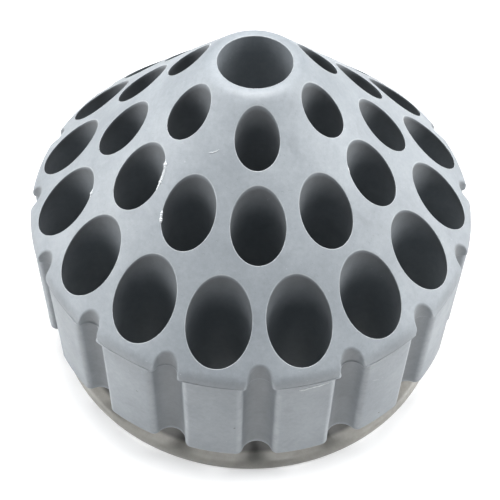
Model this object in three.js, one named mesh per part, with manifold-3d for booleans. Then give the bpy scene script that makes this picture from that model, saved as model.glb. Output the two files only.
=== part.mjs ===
// Flower frog: a ribbed dome of soft rubber with rings of stem holes, standing on a suction cup.
// Millimetres, +Z up. The origin is the centre of the cup's contact ring, on the surface below it.
import * as THREE from 'three';
import { mergeVertices } from 'three/addons/utils/BufferGeometryUtils.js';
import Module from 'manifold-3d';

const wasm = await Module();
wasm.setup();

// ---- stem holes: a centre hole and three rings, each ring set outside the last by a web ----
const CENTRE_HOLE_RADIUS = 7.6;
const INNER_HOLE_RADIUS = 4.45;
const MIDDLE_HOLE_RADIUS = 5.55;
const OUTER_HOLE_RADIUS = 6.7;
const INNER_WEB = 3.3;
const MIDDLE_WEB = 2.05;
const OUTER_WEB = 1.65;
const INNER_HOLES = 6;
const MIDDLE_HOLES = 12;
const OUTER_HOLES = 16;
const INNER_RING = CENTRE_HOLE_RADIUS + INNER_WEB + INNER_HOLE_RADIUS;
const MIDDLE_RING = INNER_RING + INNER_HOLE_RADIUS + MIDDLE_WEB + MIDDLE_HOLE_RADIUS;
const OUTER_RING = MIDDLE_RING + MIDDLE_HOLE_RADIUS + OUTER_WEB + OUTER_HOLE_RADIUS;

// ---- holder: a straight skirt under a cone that ends in a small crown round the centre hole ----
const OUTER_WALL = 2;
const HOLDER_RADIUS = OUTER_RING + OUTER_HOLE_RADIUS + OUTER_WALL;
const SKIRT_HEIGHT = 29.7;
const CONE_RISE = 40.8;
const CROWN_LAND = 1.9;
const SHOULDER_FILLET = 4.5;
const CROWN_FILLET = 1;
const FOOT_FILLET = 0.8;

// ---- flutes: upright grooves, one between each two outer holes, narrower above the parting line ----
const FLUTE = { depth: 3.4, radius: 3.4, corner: 1.6 };
const FLUTE_TOP = { depth: 2.8, radius: 2.6, corner: 0.7 };
const PARTING_DROP = 0.1;

// ---- suction cup: a thin dish with a hub that plugs into a socket under the holder ----
const CUP_RADIUS = 48;
const CUP_EDGE = 1.6;
const CUP_BEVEL = 1.4;
const CUP_WALL = 2.4;
const CUP_RISE = 6.9;
const SEAL_WIDTH = 1.6;
const SEAL_LIP = 0.6;
const HUB_RADIUS = 9;
const HUB_HEIGHT = 3.3;
const HUB_FILLET = 1.2;
const PLUG_RADIUS = 5.7;
const PLUG_LENGTH = 17;
const BARB_COUNT = 3;
const BARB_DEPTH = 0.7;
const PLUG_CLEARANCE = 0.3;
const PLUG_END_GAP = 1.5;
const SOCKET_CEILING = 4;
const SEAT_GAP = 0.3;

// ---- how finely round stretches are cut ----
const HOLDER_SIDES = 80;
const CUP_SIDES = 48;
const CENTRE_HOLE_SIDES = 24;
const INNER_HOLE_SIDES = 16;
const MIDDLE_HOLE_SIDES = 16;
const OUTER_HOLE_SIDES = 20;
const SOCKET_SIDES = 24;
const FILLET_STEPS = 3;
const FLUTE_STEPS = 5;
const CUP_STEPS = 7;
const CUT_PAST = 3;

// ---- heights that follow from the sizes above ----
const FRONT = -Math.PI / 2;
const CROWN_RADIUS = CENTRE_HOLE_RADIUS + CROWN_LAND;
const HOLDER_FOOT = CUP_RISE + HUB_HEIGHT + SEAT_GAP;
const SHOULDER = HOLDER_FOOT + SKIRT_HEIGHT;
const CROWN = SHOULDER + CONE_RISE;
const CONE_ANGLE = Math.atan2(CONE_RISE, HOLDER_RADIUS - CROWN_RADIUS);
const PARTING = SHOULDER - SHOULDER_FILLET * Math.tan((Math.PI / 2 - CONE_ANGLE) / 2) - PARTING_DROP;
const SOCKET_RADIUS = PLUG_RADIUS + PLUG_CLEARANCE;
const SOCKET_TOP = HOLDER_FOOT + PLUG_LENGTH + PLUG_END_GAP;
const CENTRE_HOLE_FLOOR = SOCKET_TOP + SOCKET_CEILING;

const rubber = (colour, roughness) => new THREE.MeshStandardMaterial({
  color: new THREE.Color(colour),
  roughness,
  metalness: 0,
});

// Points of an arc about `centre`, ends included.
function arcPoints(centre, radius, from, to, steps) {
  const points = [];
  for (let step = 0; step <= steps; step += 1) {
    const angle = from + ((to - from) * step) / steps;
    points.push(new THREE.Vector2(centre.x + radius * Math.cos(angle), centre.y + radius * Math.sin(angle)));
  }
  return points;
}

// Points of an arc that rounds the corner at `corner`, between the points `before` and `after`.
function roundCorner(before, corner, after, radius, steps = FILLET_STEPS) {
  const to_before = before.clone().sub(corner).normalize();
  const to_after = after.clone().sub(corner).normalize();
  const half_angle = Math.acos(to_before.dot(to_after)) / 2;
  const setback = radius / Math.tan(half_angle);
  const bisector = to_before.clone().add(to_after).normalize();
  const centre = corner.clone().addScaledVector(bisector, radius / Math.sin(half_angle));
  const start = corner.clone().addScaledVector(to_before, setback).sub(centre);
  const end = corner.clone().addScaledVector(to_after, setback).sub(centre);
  const first = Math.atan2(start.y, start.x);
  const turn = Math.atan2(start.x * end.y - start.y * end.x, start.dot(end));
  return arcPoints(centre, radius, first, first + turn, steps);
}

// Turns a radius and height outline, listed from the bottom of the axis to its top, about Z.
function turned(profile, sides) {
  return new THREE.LatheGeometry(profile, sides).rotateX(Math.PI / 2);
}

function solidOf(geometry) {
  const bare = geometry.index ? geometry.toNonIndexed() : geometry.clone();
  bare.deleteAttribute('normal');
  bare.deleteAttribute('uv');
  const merged = mergeVertices(bare, 1e-4);
  const corners = merged.index.array;
  const kept = [];
  for (let i = 0; i < corners.length; i += 3) {
    const [a, b, c] = [corners[i], corners[i + 1], corners[i + 2]];
    if (a !== b && b !== c && c !== a) kept.push(a, b, c);
  }
  return new wasm.Manifold(new wasm.Mesh({
    numProp: 3,
    vertProperties: new Float32Array(merged.attributes.position.array),
    triVerts: new Uint32Array(kept),
  }));
}

function geometryOf(solid) {
  const mesh = solid.getMesh();
  const geometry = new THREE.BufferGeometry();
  geometry.setAttribute('position', new THREE.BufferAttribute(new Float32Array(mesh.vertProperties), 3));
  geometry.setIndex(new THREE.BufferAttribute(new Uint32Array(mesh.triVerts), 1));
  return geometry;
}

// An upright round cutter from height `low` to height `high`, `out` from the axis.
function uprightBore(radius, low, high, sides, out = 0, angle = 0) {
  const geometry = new THREE.CylinderGeometry(radius, radius, high - low, sides);
  geometry.rotateX(Math.PI / 2);
  geometry.rotateZ(angle);
  geometry.translate(out * Math.cos(angle), out * Math.sin(angle), (low + high) / 2);
  return solidOf(geometry);
}

// One stretch of a flute's cutter: a round-bottomed groove whose two lips are rounded into the skirt.
function fluteCutter({ depth, radius, corner }, low, high, angle) {
  const groove = new THREE.Vector2(0, HOLDER_RADIUS - depth + radius);
  const corner_out = HOLDER_RADIUS - corner;
  const corner_y = (corner_out ** 2 - (radius + corner) ** 2 + groove.y ** 2) / (2 * groove.y);
  const lip = new THREE.Vector2(Math.sqrt(corner_out ** 2 - corner_y ** 2), corner_y);
  const to_skirt = Math.atan2(lip.y, lip.x);
  const to_groove = Math.atan2(groove.y - lip.y, -lip.x);
  const floor_end = Math.atan2(lip.y - groove.y, lip.x);
  const right_lip = arcPoints(lip, corner, to_groove, to_skirt, FILLET_STEPS);
  const left_lip = right_lip.map(({ x, y }) => new THREE.Vector2(-x, y)).reverse();
  const floor = arcPoints(groove, radius, -Math.PI - floor_end, floor_end, FLUTE_STEPS).slice(1, -1);
  const outside = HOLDER_RADIUS + CUT_PAST;
  const outline = new THREE.Shape([
    new THREE.Vector2(left_lip[0].x, outside),
    ...left_lip,
    ...floor,
    ...right_lip,
    new THREE.Vector2(right_lip.at(-1).x, outside),
  ]);
  const geometry = new THREE.ExtrudeGeometry(outline, { depth: high - low, bevelEnabled: false });
  geometry.rotateZ(angle - Math.PI / 2);
  geometry.translate(0, 0, low);
  return solidOf(geometry);
}

function holderBlank() {
  const foot_axis = new THREE.Vector2(0, HOLDER_FOOT);
  const foot = new THREE.Vector2(HOLDER_RADIUS, HOLDER_FOOT);
  const shoulder = new THREE.Vector2(HOLDER_RADIUS, SHOULDER);
  const crown = new THREE.Vector2(CROWN_RADIUS, CROWN);
  const crown_axis = new THREE.Vector2(0, CROWN);
  return solidOf(turned([
    foot_axis,
    ...roundCorner(foot_axis, foot, shoulder, FOOT_FILLET),
    ...roundCorner(foot, shoulder, crown, SHOULDER_FILLET),
    ...roundCorner(shoulder, crown, crown_axis, CROWN_FILLET),
    crown_axis,
  ], HOLDER_SIDES));
}

// The soft holder, one moulding: three rings of holes run right through it, and the centre hole is
// blind, because the cup's socket lies under it.
function stemHolder() {
  const rings = [
    { count: INNER_HOLES, ring: INNER_RING, radius: INNER_HOLE_RADIUS, sides: INNER_HOLE_SIDES },
    { count: MIDDLE_HOLES, ring: MIDDLE_RING, radius: MIDDLE_HOLE_RADIUS, sides: MIDDLE_HOLE_SIDES },
    { count: OUTER_HOLES, ring: OUTER_RING, radius: OUTER_HOLE_RADIUS, sides: OUTER_HOLE_SIDES, turn: 0.5 },
  ];
  const low = HOLDER_FOOT - CUT_PAST;
  const high = CROWN + CUT_PAST;
  let holder = holderBlank();
  for (const { count, ring, radius, sides, turn = 0 } of rings) {
    for (let i = 0; i < count; i += 1) {
      const angle = FRONT + ((i + turn) * 2 * Math.PI) / count;
      holder = holder.subtract(uprightBore(radius, low, high, sides, ring, angle));
    }
  }
  for (let i = 0; i < OUTER_HOLES; i += 1) {
    const angle = FRONT + (i * 2 * Math.PI) / OUTER_HOLES;
    holder = holder.subtract(fluteCutter(FLUTE, low, PARTING, angle));
    holder = holder.subtract(fluteCutter(FLUTE_TOP, PARTING - CUT_PAST, high, angle));
  }
  holder = holder.subtract(uprightBore(CENTRE_HOLE_RADIUS, CENTRE_HOLE_FLOOR, high, CENTRE_HOLE_SIDES));
  holder = holder.subtract(uprightBore(SOCKET_RADIUS, low, SOCKET_TOP, SOCKET_SIDES));
  return geometryOf(holder);
}

// Height of the dish's upper face above the seal: level inside the bevelled rim, rising smoothly to the hub.
function dishTop(radius) {
  const inward = (CUP_RADIUS - radius) / (CUP_RADIUS - HUB_RADIUS);
  return CUP_EDGE + (CUP_RISE - CUP_EDGE) * Math.sin((inward * Math.PI) / 2) ** 1.3;
}

// The cup, one moulding. Its plug has barbs that grip the socket and slide out with a pull.
function suctionCup() {
  const seal_inside = CUP_RADIUS - SEAL_WIDTH;
  const profile = [new THREE.Vector2(0, dishTop(HUB_RADIUS) - CUP_WALL)];
  for (let step = 1; step < CUP_STEPS; step += 1) {
    const radius = (seal_inside * step) / CUP_STEPS;
    const top = dishTop(Math.max(radius, HUB_RADIUS));
    const wall = THREE.MathUtils.lerp(CUP_WALL, SEAL_LIP, (radius / seal_inside) ** 2);
    profile.push(new THREE.Vector2(radius, top - wall));
  }
  profile.push(new THREE.Vector2(seal_inside, 0));
  profile.push(new THREE.Vector2(CUP_RADIUS - SEAL_LIP / 2, 0));
  profile.push(new THREE.Vector2(CUP_RADIUS, SEAL_LIP / 2));
  for (let step = 0; step <= CUP_STEPS; step += 1) {
    const radius = THREE.MathUtils.lerp(CUP_RADIUS - CUP_BEVEL, HUB_RADIUS + HUB_FILLET, step / CUP_STEPS);
    profile.push(new THREE.Vector2(radius, dishTop(radius)));
  }
  const hub_top = CUP_RISE + HUB_HEIGHT;
  profile.push(new THREE.Vector2(HUB_RADIUS, dishTop(HUB_RADIUS) + HUB_FILLET));
  profile.push(new THREE.Vector2(HUB_RADIUS, hub_top));
  profile.push(new THREE.Vector2(PLUG_RADIUS - BARB_DEPTH, hub_top));
  const barb_pitch = PLUG_LENGTH / (BARB_COUNT + 1);
  for (let barb = 1; barb <= BARB_COUNT; barb += 1) {
    const barb_foot = hub_top + barb * barb_pitch;
    profile.push(new THREE.Vector2(PLUG_RADIUS - BARB_DEPTH, barb_foot));
    profile.push(new THREE.Vector2(PLUG_RADIUS, barb_foot + BARB_DEPTH));
    profile.push(new THREE.Vector2(PLUG_RADIUS, barb_foot + 2 * BARB_DEPTH));
    profile.push(new THREE.Vector2(PLUG_RADIUS - BARB_DEPTH, barb_foot + barb_pitch * 0.7));
  }
  profile.push(new THREE.Vector2(PLUG_RADIUS - 2 * BARB_DEPTH, hub_top + PLUG_LENGTH));
  profile.push(new THREE.Vector2(0, hub_top + PLUG_LENGTH));
  return geometryOf(solidOf(turned(profile, CUP_SIDES)));
}

const stem_holder = new THREE.Mesh(stemHolder(), rubber(0xb4bcc2, 0.55));
stem_holder.name = 'stem_holder';

const suction_cup = new THREE.Mesh(suctionCup(), rubber(0x97918a, 0.5));
suction_cup.name = 'suction_cup';

const flower_frog = new THREE.Group();
flower_frog.add(suction_cup, stem_holder);

export default flower_frog;
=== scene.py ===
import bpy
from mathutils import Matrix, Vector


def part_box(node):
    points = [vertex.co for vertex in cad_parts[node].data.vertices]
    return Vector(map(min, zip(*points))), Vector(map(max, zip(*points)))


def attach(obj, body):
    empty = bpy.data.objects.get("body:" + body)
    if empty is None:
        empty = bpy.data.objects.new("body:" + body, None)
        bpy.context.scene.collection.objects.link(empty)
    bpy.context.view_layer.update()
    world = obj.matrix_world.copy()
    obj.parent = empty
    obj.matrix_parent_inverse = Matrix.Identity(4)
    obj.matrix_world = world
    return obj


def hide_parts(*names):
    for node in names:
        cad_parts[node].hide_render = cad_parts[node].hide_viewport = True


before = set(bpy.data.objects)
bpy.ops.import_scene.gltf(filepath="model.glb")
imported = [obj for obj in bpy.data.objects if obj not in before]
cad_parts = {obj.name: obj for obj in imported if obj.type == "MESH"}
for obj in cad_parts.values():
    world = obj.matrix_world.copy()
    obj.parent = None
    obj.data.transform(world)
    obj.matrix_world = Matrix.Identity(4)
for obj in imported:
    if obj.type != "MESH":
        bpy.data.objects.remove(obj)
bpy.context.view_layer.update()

import math

import bmesh
import bpy
import numpy as np
from mathutils import Matrix, Vector, noise
from mathutils.geometry import delaunay_2d_cdt

# The two pieces are laid out in millimetres, and make_mesh turns them into Blender's metres. The studio is in
# metres, and so are the materials' depths.
MM = 0.001

# ---- the frame's own sizes ----
holder_low, holder_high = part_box("stem_holder")
cup_low, cup_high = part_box("suction_cup")
FOOT = holder_low.z / MM
CROWN = holder_high.z / MM
CUP_RADIUS = cup_high.x / MM
PLUG_TOP = cup_high.z / MM

# ---- stem holes: each ring is (name, count, ring radius, hole radius, share of a step it is turned) ----
CENTRE_HOLE = 7.6
HOLE_RINGS = (
    ("inner", 6, 15.35, 4.45, 0.0),
    ("middle", 12, 27.4, 5.55, 0.0),
    ("outer", 16, 41.3, 6.7, 0.5),
)
FRONT = -math.pi / 2
HOLE_SEGMENTS = 72
HOLE_ROWS = 12
HOLE_CROWDING = 1.6
MOUTH_SHADE = -0.85
MOUTH_FADE = 8

# ---- holder ----
HOLDER_RADIUS = 50.0
SHOULDER = FOOT + 29.7
SHOULDER_FILLET = 4.5
CROWN_RADIUS = 9.5
CROWN_FILLET = 3.0
SOCKET_RADIUS = 6.0
SOCKET_TOP = FOOT + 18.5
CENTRE_FLOOR = SOCKET_TOP + 4.0
CENTRE_FLOOR_FILLET = 1.0
RIM_FILLET = 0.18
EXIT_FILLET = 0.35
FOOT_FILLET = 0.7
FILLET_STEPS = 6

# ---- flutes, as (depth, radius, corner radius), below and above the mould's parting line ----
FLUTES = 16
PITCH = 2 * math.pi / FLUTES
FLUTE_LOW = (3.4, 3.4, 1.6)
FLUTE_TOP = (2.8, 2.6, 0.7)
FLUTE_EDGE = 0.4
FLUTE_SHADE = -0.5
CORNER_STEPS = 8
FLUTE_STEPS = 14
RIDGE_STEPS = 26
RIDGE_RUN_IN = 1.6
# The flutes' corners are painted paler along their crests, partly as rubbing and partly as painted highlight.
CORNER_WEAR_AND_HIGHLIGHT_LOW = 0.6
CORNER_WEAR_AND_HIGHLIGHT_TOP = 0.5

# ---- skirt ----
SKIRT_ROWS = 26
BAND_ROWS = 6
SKIRT_WAVE = 0.05
SHOULDER_SHADE = -0.14
SHOULDER_FADE = 3.0

# ---- flash along the parting line ----
FLASH = 0.012
FLASH_WAVE = 0.02
FLASH_LEAST = 0.01
# Where it was left untrimmed: how far it stands out, by flute from the front.
UNTRIMMED = {-2: 0.3, -1: 0.12, 1: 0.22}
UNTRIMMED_REACH = 0.3 * PITCH
# Its section from the top down, as (height over the parting line, share of its full size).
FLASH_SECTION = ((0.06, 0.5), (0.0, 1.0), (-0.05, 0.4))
FLASH_TOP = 0.16
FLASH_BOTTOM = -0.14

# ---- how finely the flat stretches are filled ----
FILL_STEP = 0.85
FILL_GAP = 0.3

CONE_SLOPE = (CROWN - SHOULDER) / (HOLDER_RADIUS - CROWN_RADIUS)
CONE_ANGLE = math.atan(CONE_SLOPE)
SHOULDER_SETBACK = SHOULDER_FILLET * math.tan((math.pi / 2 - CONE_ANGLE) / 2)
SHOULDER_FOOT = SHOULDER - SHOULDER_SETBACK
PARTING = SHOULDER_FOOT - 0.1


# ---------------------------------------------------------------- mesh helpers
def make_mesh(name, points, faces, edge):
    """A closed mesh object from points in millimetres.

    The materials read each point's edge value. Above 0 the rubber is paler, as rubbing and as painted
    highlight, and below 0 it is darker, as painted shade and dark specks."""
    mesh = bpy.data.meshes.new(name)
    points = (np.asarray(points, float) * MM).tolist()
    mesh.from_pydata(points, [], [list(map(int, face)) for face in faces])
    mesh.attributes.new("edge", "FLOAT", "POINT").data.foreach_set("value", edge)
    closed = bmesh.new()
    closed.from_mesh(mesh)
    bmesh.ops.delete(closed, geom=[v for v in closed.verts if not v.link_faces], context="VERTS")
    bmesh.ops.recalc_face_normals(closed, faces=closed.faces)
    closed.to_mesh(mesh)
    closed.free()
    mesh.shade_smooth()
    piece = bpy.data.objects.new(name, mesh)
    bpy.context.scene.collection.objects.link(piece)
    return piece


class Builder:
    """Collects the points, edge values and faces of one mesh."""

    def __init__(self):
        self.points = []
        self.edge = []
        self.faces = []

    def ring(self, xyz, edge=0.0):
        """Adds points and returns their indices."""
        start = len(self.points)
        self.points.extend(np.asarray(xyz, float).tolist())
        self.edge.extend(np.broadcast_to(edge, len(xyz)).tolist())
        return np.arange(start, start + len(xyz))

    def bridge(self, rings):
        """Joins each ring to the next one with a band of four-sided faces."""
        for upper, lower in zip(rings, rings[1:]):
            self.faces.extend(zip(upper, lower, np.roll(lower, -1), np.roll(upper, -1)))

    def fan(self, ring, centre):
        """Closes a ring with triangles that meet at a centre point."""
        tip = self.ring([centre])[0]
        self.faces.extend((tip, a, b) for a, b in zip(ring, np.roll(ring, -1)))

    def finish(self, name):
        return make_mesh(name, self.points, self.faces, self.edge)


def circle(radius, x=0.0, y=0.0, segments=HOLE_SEGMENTS):
    turn = np.linspace(0, 2 * math.pi, segments, endpoint=False)
    return np.stack([x + radius * np.cos(turn), y + radius * np.sin(turn)], 1)


def with_height(plan, height):
    return np.column_stack([plan, np.broadcast_to(height, len(plan))])


def fillet(radius, steps=FILLET_STEPS):
    """(distance from the edge, drop, paleness that is partly rubbing and partly painted highlight) of a quarter
    round, from the edge inwards.
    """
    for turn in np.linspace(0, math.pi / 2, steps + 1):
        yield radius * (1 - math.cos(turn)), radius * (1 - math.sin(turn)), math.sin(2 * turn)


def smooth_step(value):
    """0 to 1 with level ends, for a value from 0 to 1."""
    value = np.clip(value, 0, 1)
    return value * value * (3 - 2 * value)


def inside(plan, polygon):
    """True for each point of plan that the closed polygon holds."""
    result = np.zeros(len(plan), bool)
    for (x0, y0), (x1, y1) in zip(polygon, np.roll(polygon, -1, 0)):
        crosses = (plan[:, 1] < y0) != (plan[:, 1] < y1)
        if crosses.any():
            result ^= crosses & (plan[:, 0] < x0 + (plan[:, 1] - y0) * (x1 - x0) / (y1 - y0 + 1e-12))
    return result


# ---------------------------------------------------------------- holder shape
def hole_places():
    """(name, x, y, radius) of every hole in the three rings."""
    for ring, count, out, radius, turn in HOLE_RINGS:
        for i in range(count):
            angle = FRONT + (i + turn) * 2 * math.pi / count
            yield f"{ring}_{i}", out * math.cos(angle), out * math.sin(angle), radius


def dome_height(plan):
    """Height of the crown, the cone and the rounded shoulder over points in plan."""
    radius = np.hypot(plan[:, 0], plan[:, 1])
    tangent = CROWN_FILLET * math.tan(CONE_ANGLE / 2)
    start = CROWN_RADIUS - tangent
    stop = CROWN_RADIUS + tangent * math.cos(CONE_ANGLE)
    height = SHOULDER + (HOLDER_RADIUS - radius) * CONE_SLOPE
    crown = CROWN - CROWN_FILLET + np.sqrt(np.maximum(CROWN_FILLET**2 - (radius - start) ** 2, 0))
    height = np.where(radius < stop, crown, height)
    height = np.where(radius < start, CROWN, height)
    centre = HOLDER_RADIUS - SHOULDER_FILLET
    shoulder = SHOULDER_FOOT + np.sqrt(np.maximum(SHOULDER_FILLET**2 - (radius - centre) ** 2, 0))
    return np.where(radius > HOLDER_RADIUS - SHOULDER_SETBACK * math.cos(CONE_ANGLE), shoulder, height)


def fluted_outline(flute):
    """The holder's outline in plan, as (points, outward directions, share of ridge, share of corner).

    Each row is a point on an arc: the arc's middle in x and y, its radius, the outward direction and the two
    shares. The radius is below 0 where the arc is hollow."""
    depth, radius, corner = flute
    groove_y = HOLDER_RADIUS - depth + radius
    corner_out = HOLDER_RADIUS - corner
    corner_y = (corner_out**2 - (radius + corner) ** 2 + groove_y**2) / (2 * groove_y)
    corner_x = math.sqrt(corner_out**2 - corner_y**2)
    to_skirt = math.atan2(corner_y, corner_x)
    to_groove = math.atan2(groove_y - corner_y, -corner_x)
    floor_end = math.atan2(corner_y - groove_y, corner_x)
    spread = math.atan2(corner_x, corner_y)
    lip = np.linspace(to_groove, to_skirt, CORNER_STEPS + 1)
    floor = np.linspace(-math.pi - floor_end, floor_end, FLUTE_STEPS + 1)[1:-1]
    ridge = np.linspace(spread, PITCH - spread, RIDGE_STEPS + 1)[1:-1]
    rows = []
    for angle, wear_and_highlight in zip(math.pi - lip[::-1], np.linspace(0, 1, CORNER_STEPS + 1)):
        rows.append((-corner_x, corner_y, corner, angle, 0, math.sin(wear_and_highlight * math.pi)))
    for angle in floor:
        rows.append((0, groove_y, -radius, angle - math.pi, 0, 0))
    for angle, wear_and_highlight in zip(lip, np.linspace(0, 1, CORNER_STEPS + 1)):
        rows.append((corner_x, corner_y, corner, angle, 0, math.sin(wear_and_highlight * math.pi)))
    for angle in ridge:
        run_in = HOLDER_RADIUS * min(angle - spread, PITCH - spread - angle) / RIDGE_RUN_IN
        rows.append((0, 0, HOLDER_RADIUS, math.pi / 2 - angle, smooth_step(run_in), 0))
    middle_x, middle_y, radius, angle, on_ridge, on_corner = np.array(rows, float).T
    out = np.stack([np.cos(angle), np.sin(angle)], 1)
    points = np.stack([middle_x, middle_y], 1) + radius[:, None] * out
    turned_points, turned_out = [], []
    for flute_number in range(FLUTES):
        turn = FRONT - flute_number * PITCH - math.pi / 2
        spin = np.array([[math.cos(turn), math.sin(turn)], [-math.sin(turn), math.cos(turn)]])
        turned_points.append(points @ spin)
        turned_out.append(out @ spin)
    return (np.concatenate(turned_points), np.concatenate(turned_out),
            np.tile(on_ridge, FLUTES), np.tile(on_corner, FLUTES))


def groove_share(plan, flute):
    """How far down a flute each point of an outline lies, 0 on the ridges and 1 on the flute's floor."""
    return (HOLDER_RADIUS - np.hypot(*plan.T)) / flute[0]


def fill_between(builder, outer, holes, height):
    """Fills the plan inside the outer ring and outside the holes' rings with triangles.

    outer is (indices, plan, outward directions), each hole is (indices, plan, x, y, radius), and height gives
    the heights of points in plan."""
    indices = [outer[0]] + [hole[0] for hole in holes]
    plans = [outer[1]] + [hole[1] for hole in holes]
    edges = []
    start = 0
    for ring in indices:
        edges.extend((start + i, start + (i + 1) % len(ring)) for i in range(len(ring)))
        start += len(ring)
    spots = []
    for radius in np.arange(FILL_STEP, HOLDER_RADIUS, FILL_STEP):
        spots.append(circle(radius, segments=max(6, round(2 * math.pi * radius / FILL_STEP))))
    spots = np.concatenate(spots)
    keep = inside(spots, outer[1] - outer[2] * FILL_GAP)
    for _, _, x, y, radius in holes:
        keep &= np.hypot(spots[:, 0] - x, spots[:, 1] - y) > radius + FILL_GAP
    spots = spots[keep]
    indices = np.concatenate(indices + [builder.ring(with_height(spots, height(spots)))])
    plan = np.concatenate(plans + [spots])
    flat, _, triangles, sources, _, _ = delaunay_2d_cdt([Vector(p) for p in plan], edges, [], 0, 1e-6)
    triangles = np.array(triangles)
    middle = np.array([tuple(p) for p in flat])[triangles].mean(1)
    keep = inside(middle, outer[1])
    for _, rim, _, _, _ in holes:
        keep &= ~inside(middle, rim)
    source = np.array([names[0] for names in sources])
    builder.faces.extend(map(tuple, indices[source[triangles[keep]]]))


def add_stem_holes(builder):
    """The holes' rims, walls and exits. Returns the rings that the dome and the underside meet."""
    dome_rims, foot_rims = [], []
    for name, x, y, radius in hole_places():
        rims = []
        for away, drop, wear_and_highlight in reversed(list(fillet(RIM_FILLET))):
            plan = circle(radius + away, x, y)
            rims.append(builder.ring(with_height(plan, dome_height(plan) - drop), wear_and_highlight))
        mouth = np.array([builder.points[i] for i in rims[-1]])
        walls = []
        for share in np.linspace(0, 1, HOLE_ROWS + 1)[1:-1] ** HOLE_CROWDING:
            level = mouth[:, 2] + share * (FOOT + EXIT_FILLET - mouth[:, 2])
            shade = MOUTH_SHADE * (1 - share) ** MOUTH_FADE
            walls.append(builder.ring(with_height(mouth[:, :2], level), shade))
        exits = [builder.ring(with_height(circle(radius + away, x, y), FOOT + drop), wear_and_highlight)
                 for away, drop, wear_and_highlight in fillet(EXIT_FILLET)]
        builder.bridge(rims + walls + exits)
        dome_rims.append((rims[0], circle(radius + RIM_FILLET, x, y), x, y, radius + RIM_FILLET))
        foot_rims.append((exits[-1], circle(radius + EXIT_FILLET, x, y), x, y, radius + EXIT_FILLET))
    return dome_rims, foot_rims


def add_centre_hole(builder):
    """The blind centre hole. Returns its ring at the crown."""
    rings = [builder.ring(with_height(circle(CENTRE_HOLE + away), CROWN - drop), wear_and_highlight)
             for away, drop, wear_and_highlight in reversed(list(fillet(RIM_FILLET)))]
    outer = (rings[0], circle(CENTRE_HOLE + RIM_FILLET), 0, 0, CENTRE_HOLE + RIM_FILLET)
    for level in np.linspace(CROWN - RIM_FILLET, CENTRE_FLOOR + CENTRE_FLOOR_FILLET, HOLE_ROWS)[1:]:
        rings.append(builder.ring(with_height(circle(CENTRE_HOLE), level)))
    for away, drop, _ in list(fillet(CENTRE_FLOOR_FILLET))[1:]:
        rings.append(builder.ring(with_height(circle(CENTRE_HOLE - away), CENTRE_FLOOR + drop)))
    builder.bridge(rings)
    builder.fan(rings[-1], (0, 0, CENTRE_FLOOR))
    return outer


def add_socket(builder):
    """The socket for the cup's plug. Returns its ring on the underside."""
    rings = [builder.ring(with_height(circle(SOCKET_RADIUS + away), FOOT + drop), wear_and_highlight)
             for away, drop, wear_and_highlight in reversed(list(fillet(EXIT_FILLET)))]
    for level in np.linspace(FOOT + EXIT_FILLET, SOCKET_TOP, HOLE_ROWS)[1:]:
        rings.append(builder.ring(with_height(circle(SOCKET_RADIUS), level)))
    builder.bridge(rings)
    builder.fan(rings[-1], (0, 0, SOCKET_TOP))
    return rings[0], circle(SOCKET_RADIUS + EXIT_FILLET), 0, 0, SOCKET_RADIUS + EXIT_FILLET


def parting_flash(points):
    """How far the flash stands out of the skirt at each point of the parting line."""
    angle = np.arctan2(points[:, 1], points[:, 0]) - FRONT
    wave = np.array([noise.noise(Vector((x * 0.3, y * 0.3, 7))) for x, y in points])
    flash = FLASH + FLASH_WAVE * wave
    for flute, height in UNTRIMMED.items():
        off = (angle - flute * PITCH + math.pi) % (2 * math.pi) - math.pi
        flash += height * smooth_step(1.5 - np.abs(off) / UNTRIMMED_REACH)
    return np.maximum(flash, FLASH_LEAST)


def skirt_wave(points, level):
    """A slow unevenness of the moulded skirt."""
    places = [Vector((x * 0.12, y * 0.12, level * 0.1)) for x, y in points]
    return np.array([SKIRT_WAVE * noise.noise(place) for place in places])


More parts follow.
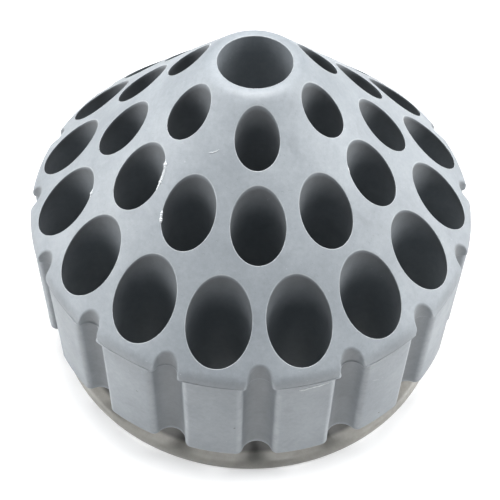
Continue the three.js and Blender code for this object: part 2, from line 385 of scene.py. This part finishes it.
def add_skirt(builder):
    """The skirt from the dome to the underside. Returns the outer rings that those two meet."""
    top, top_out, top_ridge, top_corner = fluted_outline(FLUTE_TOP)
    low, low_out, _, low_corner = fluted_outline(FLUTE_LOW)
    in_groove = groove_share(top, FLUTE_TOP)
    shoulder_shade = SHOULDER_SHADE * top_ridge
    # The outlines' edge values: paler corners, partly rubbing and partly painted highlight, with painted shade
    # in the flutes and, at the top, on the shoulder.
    top_wear_highlight_shade = top_corner * CORNER_WEAR_AND_HIGHLIGHT_TOP + FLUTE_SHADE * in_groove + shoulder_shade
    low_wear_highlight_shade = low_corner * CORNER_WEAR_AND_HIGHLIGHT_LOW + FLUTE_SHADE * groove_share(low, FLUTE_LOW)
    rings = []
    inner = None
    # The rounded shoulder on the ridges, with a smaller edge over the flutes.
    for turn in np.linspace(math.pi / 2, 0, 2 * FILLET_STEPS + 1):
        ridge_inset = SHOULDER_FILLET * (1 - math.cos(turn * (math.pi / 2 - CONE_ANGLE) / (math.pi / 2)))
        edge_inset = FLUTE_EDGE * (1 - math.cos(turn))
        inset = edge_inset + (ridge_inset - edge_inset) * top_ridge
        plan = top - top_out * inset[:, None]
        drop = FLUTE_EDGE * (1 - math.sin(turn)) * smooth_step(in_groove * 4)
        rings.append(builder.ring(with_height(plan, dome_height(plan) - drop), top_wear_highlight_shade * math.cos(turn)))
        if inner is None:
            inner = (rings[0], plan, top_out)
    # The upright band down to the parting line.
    edge = np.array([builder.points[i] for i in rings[-1]])
    for share in np.linspace(0, 1, BAND_ROWS + 1)[1:]:
        level = edge[:, 2] + share * (PARTING + FLASH_TOP - edge[:, 2])
        rings.append(builder.ring(with_height(top, level), top_wear_highlight_shade))
    # The flash, where the outline changes to that of the wider flutes.
    flash = parting_flash(top)[:, None]
    # The flash is paler, with the shoulder's painted shade added on the ridges.
    pale = np.clip(flash[:, 0] * 5, 0, 1) + shoulder_shade
    for rise, share in FLASH_SECTION:
        outline, out = (low, low_out) if rise < 0 else (top, top_out)
        rings.append(builder.ring(with_height(outline + out * flash * share, PARTING + rise), pale * share))
    rings.append(builder.ring(with_height(low, PARTING + FLASH_BOTTOM), low_wear_highlight_shade + shoulder_shade))
    # The skirt below it, and the rounded edge of the underside.
    for level in np.linspace(PARTING + FLASH_BOTTOM, FOOT + FOOT_FILLET, SKIRT_ROWS + 1)[1:-1]:
        wave = skirt_wave(low, level)[:, None]
        shade = shoulder_shade * smooth_step(1 - (PARTING - level) / SHOULDER_FADE)
        rings.append(builder.ring(with_height(low - low_out * np.abs(wave), level), low_wear_highlight_shade + shade))
    for away, drop, wear_and_highlight in fillet(FOOT_FILLET):
        rings.append(builder.ring(with_height(low - low_out * away, FOOT + drop), wear_and_highlight))
    builder.bridge(rings)
    return inner, (rings[-1], low - low_out * FOOT_FILLET, low_out)


# ---------------------------------------------------------------- marks on the holder
SLIVER_WEAR = 3.0
SLIVER_ROOT = 0.15
RIM_SLIVER_OUT = 0.05
# Torn flash on the rims of holes: (hole, from and to in degrees round it, width, height).
RIM_SLIVERS = (
    ("middle_10", -50, 0, 0.9, 0.25),
    ("middle_10", -44, -24, 1.2, 0.3),
    ("middle_10", -18, -4, 1.0, 0.3),
    ("middle_11", 160, 180, 1.0, 0.4),
    ("outer_12", -30, -17, 0.6, 0.2),
    ("middle_2", 196, 207, 0.35, 0.12),
    ("inner_4", -20, 8, 0.25, 0.08),
)
# Scratches and specks on the ridges: from and to, each as (degrees from the front, height), then the width, the
# height and the edge value.
SKIRT_MARKS = (
    ((9.2, 36.9), (16.6, 37.3), 0.55, 0.08, 3.0),
    ((9.4, 36.7), (11.6, 36.9), 0.6, 0.1, 3.0),
    ((-6.0, 22.4), (-5.5, 22.6), 0.5, 0.03, -1.0),
    ((33.3, 13.7), (33.8, 13.8), 0.5, 0.03, -1.0),
    ((-15.1, 38.5), (-14.4, 38.5), 0.45, 0.03, -1.0),
    ((-31.0, 27.5), (-30.4, 27.0), 0.3, 0.03, -1.0),
    ((29.0, 31.0), (31.0, 29.8), 0.16, 0.03, 2.0),
)
# The scuff on the cone is bent round a point on this bearing from the front and this far out.
SCUFF_TURN = math.radians(-27.3)
SCUFF_OUT = 18.2
SCUFF_BEND = 3.0


def add_sliver(builder, path, across, out, width, height, wear_and_highlight=SLIVER_WEAR):
    """A ragged thread of rubber lying along a path, as a closed shell of its own."""
    rings = []
    for i, (point, side, normal) in enumerate(zip(path, across, out)):
        share = math.sin(math.pi * (0.06 + 0.88 * i / (len(path) - 1)))
        spot = Vector(point)
        ragged = share * (0.4 + 0.9 * abs(noise.noise(spot * 1.3)) + 0.3 * abs(noise.noise(spot * 3.1)))
        side = side * width * ragged / 2
        rise = normal * height * ragged
        root = point - normal * SLIVER_ROOT
        rings.append(builder.ring([root - side, root + side, point + side + rise * 0.4,
                                   point + side * 0.3 + rise, point - side + rise * 0.5], wear_and_highlight))
    builder.bridge(rings)
    builder.faces.extend([rings[0], rings[-1]])


def on_dome(plan):
    """Points on the dome over plan, and the dome's outward directions there."""
    points = with_height(plan, dome_height(plan))
    radius = np.hypot(*plan.T)[:, None]
    out = np.column_stack([plan / radius * CONE_SLOPE, np.ones(len(plan))])
    return points, out / np.linalg.norm(out, axis=1)[:, None]


def arc_on_dome(x, y, radius, start, stop, steps):
    """An arc on the dome round a point in plan, as (points, directions across it, outward directions)."""
    turn = np.radians(np.linspace(start, stop, steps))
    plan = np.stack([x + radius * np.cos(turn), y + radius * np.sin(turn)], 1)
    points, out = on_dome(plan)
    across = np.column_stack([np.cos(turn), np.sin(turn), np.zeros(steps)])
    across -= out * (across * out).sum(1)[:, None]
    return points, across / np.linalg.norm(across, axis=1)[:, None], out


def line_on_skirt(start, stop, steps):
    """A line on a ridge between two (degrees from the front, height) points, in arc_on_dome's form."""
    angle = FRONT + np.radians(np.linspace(start[0], stop[0], steps))
    out = np.column_stack([np.cos(angle), np.sin(angle), np.zeros(steps)])
    points = out * HOLDER_RADIUS + np.array([0, 0, 1]) * np.linspace(start[1], stop[1], steps)[:, None]
    return points, np.tile([0.0, 0.0, 1.0], (steps, 1)), out


def add_marks(builder):
    """The torn flash, the scuff, the scratches and the specks."""
    places = {name: (x, y, radius) for name, x, y, radius in hole_places()}
    for name, start, stop, width, height in RIM_SLIVERS:
        x, y, radius = places[name]
        add_sliver(builder, *arc_on_dome(x, y, radius + RIM_SLIVER_OUT, start, stop, 40), width, height)
    scuff = FRONT + SCUFF_TURN
    x, y = SCUFF_OUT * math.cos(scuff), SCUFF_OUT * math.sin(scuff) + SCUFF_BEND
    add_sliver(builder, *arc_on_dome(x, y, SCUFF_BEND, 246, 288, 30), 0.5, 0.12, 1.6)
    for start, stop, width, height, wear_and_highlight in SKIRT_MARKS:
        add_sliver(builder, *line_on_skirt(start, stop, 48), width, height, wear_and_highlight)


# ---------------------------------------------------------------- the whole holder
def build_holder():
    """The soft dome as one object: the closed dome, and its marks as small closed shells that overlap it."""
    builder = Builder()
    add_marks(builder)
    dome_rims, foot_rims = add_stem_holes(builder)
    dome_rims.append(add_centre_hole(builder))
    foot_rims.append(add_socket(builder))
    dome_edge, foot_edge = add_skirt(builder)
    fill_between(builder, dome_edge, dome_rims, dome_height)
    fill_between(builder, foot_edge, foot_rims, lambda plan: np.full(len(plan), FOOT))
    return builder.finish("stem_holder_body")


holder = build_holder()
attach(holder, "holder")
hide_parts("stem_holder")


# ---------------------------------------------------------------- suction cup
CUP_SEGMENTS = 176
CUP_EDGE = 1.6
CUP_BEVEL = 1.4
CUP_WALL = 2.4
CUP_RISE = 6.9
DISH_CURVE = 1.3
DISH_ROWS = 119
UNDER_ROWS = 26
UNDER_CLEARANCE = 0.12
SEAL_WIDTH = 1.6
SEAL_LIP = 0.6
SEAL_WEAR = 0.9
BEVEL_WEAR = 0.12
# The painted shadow on the dish under the holder: its outer edge, how wide it fades in, its least depth, and
# its depth near the edge.
SHELTER_RADIUS = 45.3
SHELTER_FADE = 1.2
SHELTERED = 0.4
SHELTERED_RIM = 0.85
HUB_RADIUS = 9.0
HUB_SPREAD = 1.6
HUB_CREEP = 1.4
HUB_FILLET = 0.5
HUB_TOP = FOOT - 0.3
PLUG_RADIUS = 5.7
BARB_DEPTH = 0.7
BARBS = 3


def dish_top(radius):
    """Height of the dish's upper face, level inside the bevelled rim and rising smoothly to the hub."""
    inward = (CUP_RADIUS - radius) / (CUP_RADIUS - HUB_RADIUS)
    return CUP_EDGE + (CUP_RISE - CUP_EDGE) * math.sin(inward * math.pi / 2) ** DISH_CURVE


def dish_shade(radius):
    """How dark the painted shadow on the dish's upper face under the holder is, darkest just inside the ring
    that can be seen.
    """
    depth = max(SHELTERED, SHELTERED_RIM * radius / SHELTER_RADIUS)
    return -float(smooth_step((SHELTER_RADIUS - radius) / SHELTER_FADE)) * depth


def cup_outline():
    """(radius, height, edge value), from under the middle, round the seal and over the dish to the plug."""
    seal = CUP_RADIUS - SEAL_WIDTH
    lip = SEAL_LIP / 2
    outline = []
    # The hollow underside and the seal.
    for radius in np.linspace(0.4, seal - 0.5, UNDER_ROWS):
        wall = CUP_WALL + (SEAL_LIP - CUP_WALL) * (radius / seal) ** 2
        outline.append((radius, max(dish_top(max(radius, HUB_RADIUS)) - wall, UNDER_CLEARANCE), 0))
    outline.append((seal, 0.0, 0))
    for turn in np.linspace(-math.pi / 2, 0, 5):
        outline.append((CUP_RADIUS - lip + lip * math.cos(turn), lip + lip * math.sin(turn), SEAL_WEAR))
    # The bevelled rim and the dish's upper face.
    bevel_in = CUP_RADIUS - CUP_BEVEL
    bevel_rise = dish_top(bevel_in) - lip
    for turn in np.linspace(0, math.pi / 2, 8)[1:]:
        radius = CUP_RADIUS - CUP_BEVEL * (1 - math.cos(turn))
        outline.append((radius, lip + bevel_rise * math.sin(turn), BEVEL_WEAR))
    for radius in np.linspace(bevel_in, HUB_RADIUS + HUB_SPREAD, DISH_ROWS + 1)[1:]:
        outline.append((radius, dish_top(radius), dish_shade(radius)))
    # The hub.
    base = dish_top(HUB_RADIUS)
    for turn in np.linspace(0, math.pi / 2, 6)[1:]:
        radius = HUB_RADIUS + HUB_SPREAD * (1 - math.sin(turn))
        outline.append((radius, base + HUB_CREEP * (1 - math.cos(turn)), 0))
    for away, drop, wear_and_highlight in fillet(HUB_FILLET, 4):
        outline.append((HUB_RADIUS - away, HUB_TOP - drop, wear_and_highlight * 0.5))
    # The plug: its shaft, and for each barb a step out, a rounded edge and a slope back.
    shaft = PLUG_RADIUS - BARB_DEPTH
    outline += [(shaft + 0.4, HUB_TOP, 0)]
    outline += [(shaft + 0.1, HUB_TOP + 0.1, 0), (shaft, HUB_TOP + 0.4, 0)]
    pitch = (PLUG_TOP - HUB_TOP) / (BARBS + 1)
    for barb in range(1, BARBS + 1):
        foot = HUB_TOP + barb * pitch
        outline += [(shaft, foot - 0.25, 0), (shaft + 0.1, foot, 0), (PLUG_RADIUS - 0.1, foot + 0.6, 0.6)]
        outline += [(PLUG_RADIUS, foot + 0.8, 0.6), (PLUG_RADIUS - 0.05, foot + 1.2, 0.6)]
        outline += [(shaft + 0.1, foot + 0.68 * pitch, 0), (shaft, foot + 0.74 * pitch, 0)]
    tip = PLUG_RADIUS - 2 * BARB_DEPTH
    outline += [(tip + 0.15, PLUG_TOP - 0.5, 0)]
    outline += [(tip - 0.1, PLUG_TOP - 0.1, 0.4), (tip - 0.5, PLUG_TOP, 0)]
    return outline


def build_cup():
    """The cup and its plug as one closed mesh."""
    builder = Builder()
    outline = cup_outline()
    rings = [builder.ring(with_height(circle(radius, segments=CUP_SEGMENTS), height), wear_and_highlight)
             for radius, height, wear_and_highlight in outline]
    builder.bridge(rings)
    builder.fan(rings[0], (0, 0, outline[0][1]))
    builder.fan(rings[-1], (0, 0, outline[-1][1]))
    return builder.finish("suction_cup_body")


cup = build_cup()
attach(cup, "cup")
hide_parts("suction_cup")


# ---------------------------------------------------------------- materials
HOLDER_DARK, HOLDER_PALE = (0.193, 0.213, 0.231), (0.258, 0.281, 0.3)
# The pale edge colour is rubbing with painted highlight; the dark one is painted shade in hollows, and dark
# specks.
HOLDER_WORN_AND_HIGHLIGHT, HOLDER_PAINTED_SHADE_AND_SPECKS = (0.62, 0.64, 0.65), (0.06, 0.06, 0.06)
HOLDER_SMUDGE, HOLDER_DUST = (0.16, 0.175, 0.19), (0.45, 0.47, 0.49)
HOLDER_EDGE_WEAR_AND_HIGHLIGHT, HOLDER_EDGE_SHADE = 0.32, -0.8
CUP_DARK, CUP_PALE = (0.29, 0.28, 0.253), (0.37, 0.358, 0.326)
CUP_WORN, CUP_PAINTED_SHADOW = (0.46, 0.45, 0.42), (0.03, 0.03, 0.03)
CUP_DUST = (0.45, 0.44, 0.41)
CUP_EDGE_WEAR, CUP_EDGE_SHADE = 0.8, -1.0
RUBBER_IOR = 1.5
FLOOR_GLOW = 0.2


class Shader:
    """A short way to write a node material. Its patterns are laid out in the object's own space."""

    def __init__(self, name):
        self.material = bpy.data.materials.new(name)
        self.material.use_nodes = True
        self.nodes = self.material.node_tree.nodes
        self.links = self.material.node_tree.links
        self.surface = self.nodes["Principled BSDF"]
        self.place = self.add("ShaderNodeTexCoord").outputs["Object"]

    def feed(self, socket, value):
        """Links another node's output to a socket, or sets the socket to a number or a colour."""
        if isinstance(value, bpy.types.NodeSocket):
            self.links.new(value, socket)
        else:
            socket.default_value = (*value, 1) if isinstance(value, tuple) else value

    def add(self, kind, **settings):
        node = self.nodes.new(kind)
        for key, value in settings.items():
            setattr(node, key, value)
        return node

    def noise(self, scale, detail=4.0, roughness=0.55, stretch=(1, 1, 1), distortion=0.0):
        spread = self.add("ShaderNodeMapping")
        spread.inputs["Scale"].default_value = stretch
        self.links.new(self.place, spread.inputs["Vector"])
        node = self.add("ShaderNodeTexNoise")
        node.inputs["Scale"].default_value = scale
        node.inputs["Detail"].default_value = detail
        node.inputs["Roughness"].default_value = roughness
        node.inputs["Distortion"].default_value = distortion
        self.links.new(spread.outputs["Vector"], node.inputs["Vector"])
        return node.outputs["Fac"]

    def ramp(self, value, stops):
        """A colour ramp. Each stop is (position, grey level or colour)."""
        node = self.add("ShaderNodeValToRGB")
        elements = node.color_ramp.elements
        while len(elements) < len(stops):
            elements.new(0.5)
        for element, (position, shade) in zip(elements, stops):
            element.position = position
            element.color = (shade, shade, shade, 1) if isinstance(shade, float) else (*shade, 1)
        self.links.new(value, node.inputs["Fac"])
        return node.outputs["Color"]

    def mix(self, amount, first, second, blend="MIX"):
        node = self.add("ShaderNodeMix", data_type="RGBA", blend_type=blend)
        self.feed(node.inputs["Factor"], amount)
        self.feed(node.inputs["A"], first)
        self.feed(node.inputs["B"], second)
        return node.outputs["Result"]

    def math(self, operation, first, second):
        node = self.add("ShaderNodeMath", operation=operation)
        self.feed(node.inputs[0], first)
        self.feed(node.inputs[1], second)
        return node.outputs["Value"]

    def attribute(self, name):
        return self.add("ShaderNodeAttribute", attribute_name=name).outputs["Fac"]

    def bump(self, height, strength, distance, below=None):
        """A bump of a height pattern, on top of another bump where below is given."""
        node = self.add("ShaderNodeBump")
        node.inputs["Strength"].default_value = strength
        node.inputs["Distance"].default_value = distance
        self.links.new(height, node.inputs["Height"])
        if below is not None:
            self.links.new(below, node.inputs["Normal"])
        return node.outputs["Normal"]

    def set_rubber(self, weight, radius, scale):
        """Sets how light soaks into rubber: the weight, the spread by colour, and the depth in metres."""
        self.surface.inputs["Subsurface Weight"].default_value = weight
        self.surface.inputs["Subsurface Radius"].default_value = radius
        self.surface.inputs["Subsurface Scale"].default_value = scale
        self.surface.inputs["IOR"].default_value = RUBBER_IOR


def holder_material():
    """Grey moulded rubber with a cool cast: matt, clouded, rubbed pale with painted highlight along its sharp
    edges, and with painted shade in the holes' mouths, the flutes and the shoulder.
    """
    shader = Shader("holder_rubber_look")
    edge = shader.attribute("edge")

    colour = shader.ramp(shader.noise(48, 6, 0.62), [(0.32, HOLDER_DARK), (0.68, HOLDER_PALE)])
    streaks = shader.ramp(shader.noise(95, 4, 0.6, stretch=(1, 1, 0.2)), [(0.3, 0.93), (0.62, 1.0)])
    colour = shader.mix(1.0, colour, streaks, "MULTIPLY")
    mottle = shader.ramp(shader.noise(850, 5, 0.8), [(0.3, 0.86), (0.7, 1.04)])
    colour = shader.mix(1.0, colour, mottle, "MULTIPLY")
    smudge = shader.ramp(shader.noise(150, 3, 0.5, distortion=0.8), [(0.64, 0.0), (0.74, 0.5)])
    colour = shader.mix(smudge, colour, HOLDER_SMUDGE)
    dust = shader.ramp(shader.noise(1100, 2, 0.5), [(0.74, 0.0), (0.8, 0.4)])
    colour = shader.mix(dust, colour, HOLDER_DUST)
    patchy = shader.ramp(shader.noise(420, 4, 0.65), [(0.3, 0.25), (0.7, 1.0)])
    # Paler along rounded edges and on marks: partly rubbing, partly painted highlight.
    worn_and_highlit = shader.math("MULTIPLY", edge, patchy)
    colour = shader.mix(shader.math("MULTIPLY", worn_and_highlit, HOLDER_EDGE_WEAR_AND_HIGHLIGHT), colour, HOLDER_WORN_AND_HIGHLIGHT)
    # Darker where the edge value is below 0: painted shade in the holes' mouths, the flutes and the shoulder,
    # and dark specks.
    colour = shader.mix(shader.math("MULTIPLY", edge, HOLDER_EDGE_SHADE), colour, HOLDER_PAINTED_SHADE_AND_SPECKS)
    shader.feed(shader.surface.inputs["Base Color"], colour)

    roughness = shader.ramp(shader.noise(120, 5, 0.65), [(0.3, 0.48), (0.7, 0.62)])
    shader.feed(shader.surface.inputs["Roughness"], roughness)

    waves = shader.bump(shader.noise(75, 2, 0.4), 0.3, 0.0008)
    pores = shader.ramp(shader.noise(1700, 2, 0.5), [(0.22, 0.0), (0.34, 1.0)])
    pits = shader.bump(pores, 0.25, 0.00012, waves)
    grain = shader.bump(shader.noise(3200, 3, 0.6), 0.14, 0.00006, pits)
    shader.feed(shader.surface.inputs["Normal"], grain)
    shader.set_rubber(0.06, (1.0, 0.95, 0.9), 0.0008)
    return shader.material


def cup_material():
    """Warm grey rubber of the cup, smoother than the holder, with a fine grain and dust, and a painted shadow
    on the dish under the holder.
    """
    shader = Shader("cup_rubber_look")
    edge = shader.attribute("edge")

    colour = shader.ramp(shader.noise(70, 5, 0.6), [(0.3, CUP_DARK), (0.7, CUP_PALE)])
    dust = shader.ramp(shader.noise(1300, 2, 0.5), [(0.7, 0.0), (0.78, 0.6)])
    colour = shader.mix(dust, colour, CUP_DUST)
    colour = shader.mix(shader.math("MULTIPLY", edge, CUP_EDGE_WEAR), colour, CUP_WORN)
    # Painted shadow on the dish under the holder, where the edge value is below 0.
    colour = shader.mix(shader.math("MULTIPLY", edge, CUP_EDGE_SHADE), colour, CUP_PAINTED_SHADOW)
    mottle = shader.ramp(shader.noise(500, 5, 0.75), [(0.3, 0.8), (0.7, 1.0)])
    colour = shader.mix(1.0, colour, mottle, "MULTIPLY")
    shader.feed(shader.surface.inputs["Base Color"], colour)

    roughness = shader.ramp(shader.noise(180, 4, 0.6), [(0.3, 0.36), (0.7, 0.5)])
    shader.feed(shader.surface.inputs["Roughness"], roughness)
    grain = shader.bump(shader.noise(1500, 3, 0.6, stretch=(1, 1, 3)), 0.3, 0.00015)
    shader.feed(shader.surface.inputs["Normal"], grain)
    shader.set_rubber(0.08, (1.0, 0.95, 0.85), 0.001)
    return shader.material


def floor_material():
    """A matt, nearly white floor that glows a little, which keeps the ground white as in the photograph."""
    shader = Shader("pale_floor")
    colour = shader.ramp(shader.noise(6, 2), [(0.3, 0.86), (0.7, 0.88)])
    shader.feed(shader.surface.inputs["Base Color"], colour)
    shader.surface.inputs["Roughness"].default_value = 0.7
    shader.surface.inputs["Emission Color"].default_value = (1, 1, 1, 1)
    shader.surface.inputs["Emission Strength"].default_value = FLOOR_GLOW
    return shader.material


holder.data.materials.append(holder_material())
cup.data.materials.append(cup_material())


# ---------------------------------------------------------------- studio
FLOOR_SIZE = 3.0
FLOOR_DROP = 0.0001
CAMERA_TURN = math.radians(-3.155)
CAMERA_ELEVATION = math.radians(52.0)
CAMERA_DISTANCE = 0.2678
CAMERA_ROLL = math.radians(1.58)
CAMERA_LENS = 79.8
CAMERA_SENSOR = 36
AIM_HEIGHT = 0.0202
LIGHT_AIM = Vector((0, 0, 0.03))
# Each soft light is (name, place, size, power).
LIGHTS = (
    ("key_light", (0, 0.05, 0.46), 0.28, 3.6),
    ("left_light", (-0.8, 0.1, 0.3), 0.6, 5.6),
    ("right_light", (0.8, 0.1, 0.3), 0.6, 5.6),
    ("left_high_light", (-0.6, 0, 0.6), 0.5, 1.2),
    ("right_high_light", (0.6, 0, 0.6), 0.5, 2.4),
)
WORLD_GLOW = (0.04, 0.052, 0.066)
WORLD_BACKDROP = (0.95, 0.96, 0.97)


def make_floor():
    half = FLOOR_SIZE / 2
    mesh = bpy.data.meshes.new("studio_floor")
    corners = [(-half, -half, 0), (half, -half, 0), (half, half, 0), (-half, half, 0)]
    mesh.from_pydata(corners, [], [(0, 1, 2, 3)])
    floor = bpy.data.objects.new("studio_floor", mesh)
    bpy.context.scene.collection.objects.link(floor)
    floor.location.z = -FLOOR_DROP
    floor.data.materials.append(floor_material())


def soft_light(name, place, size, power):
    data = bpy.data.lights.new(name, "AREA")
    data.shape = "DISK"
    data.size = size
    data.energy = power
    light = bpy.data.objects.new(name, data)
    light.location = place
    light.rotation_euler = (LIGHT_AIM - Vector(place)).to_track_quat("-Z", "Y").to_euler()
    bpy.context.scene.collection.objects.link(light)


def make_camera():
    """The camera at the photograph's angle, turned and rolled a little as the camera fit found."""
    data = bpy.data.cameras.new("camera")
    data.lens = CAMERA_LENS
    data.sensor_width = CAMERA_SENSOR
    data.clip_start = 0.01
    camera = bpy.data.objects.new("camera", data)
    level = CAMERA_DISTANCE * math.cos(CAMERA_ELEVATION)
    aim = Vector((0, 0, AIM_HEIGHT))
    place = Vector((level * math.sin(CAMERA_TURN), -level * math.cos(CAMERA_TURN),
                    AIM_HEIGHT + CAMERA_DISTANCE * math.sin(CAMERA_ELEVATION)))
    turn = (aim - place).to_track_quat("-Z", "Y").to_matrix().to_4x4()
    camera.matrix_world = Matrix.Translation(place) @ turn @ Matrix.Rotation(CAMERA_ROLL, 4, "Z")
    bpy.context.scene.collection.objects.link(camera)
    bpy.context.scene.camera = camera


def make_world():
    """A dim, cool surrounding for the light, which is pale where the camera looks straight at it."""
    world = bpy.data.worlds.new("studio_world")
    world.use_nodes = True
    nodes, links = world.node_tree.nodes, world.node_tree.links
    colour = nodes.new("ShaderNodeMix")
    colour.data_type = "RGBA"
    colour.inputs["A"].default_value = (*WORLD_GLOW, 1)
    colour.inputs["B"].default_value = (*WORLD_BACKDROP, 1)
    links.new(nodes.new("ShaderNodeLightPath").outputs["Is Camera Ray"], colour.inputs["Factor"])
    links.new(colour.outputs["Result"], nodes["Background"].inputs["Color"])
    bpy.context.scene.world = world


make_floor()
for settings in LIGHTS:
    soft_light(*settings)
make_world()
make_camera()
bpy.context.scene.view_settings.view_transform = "Standard"
bpy.context.view_layer.update()
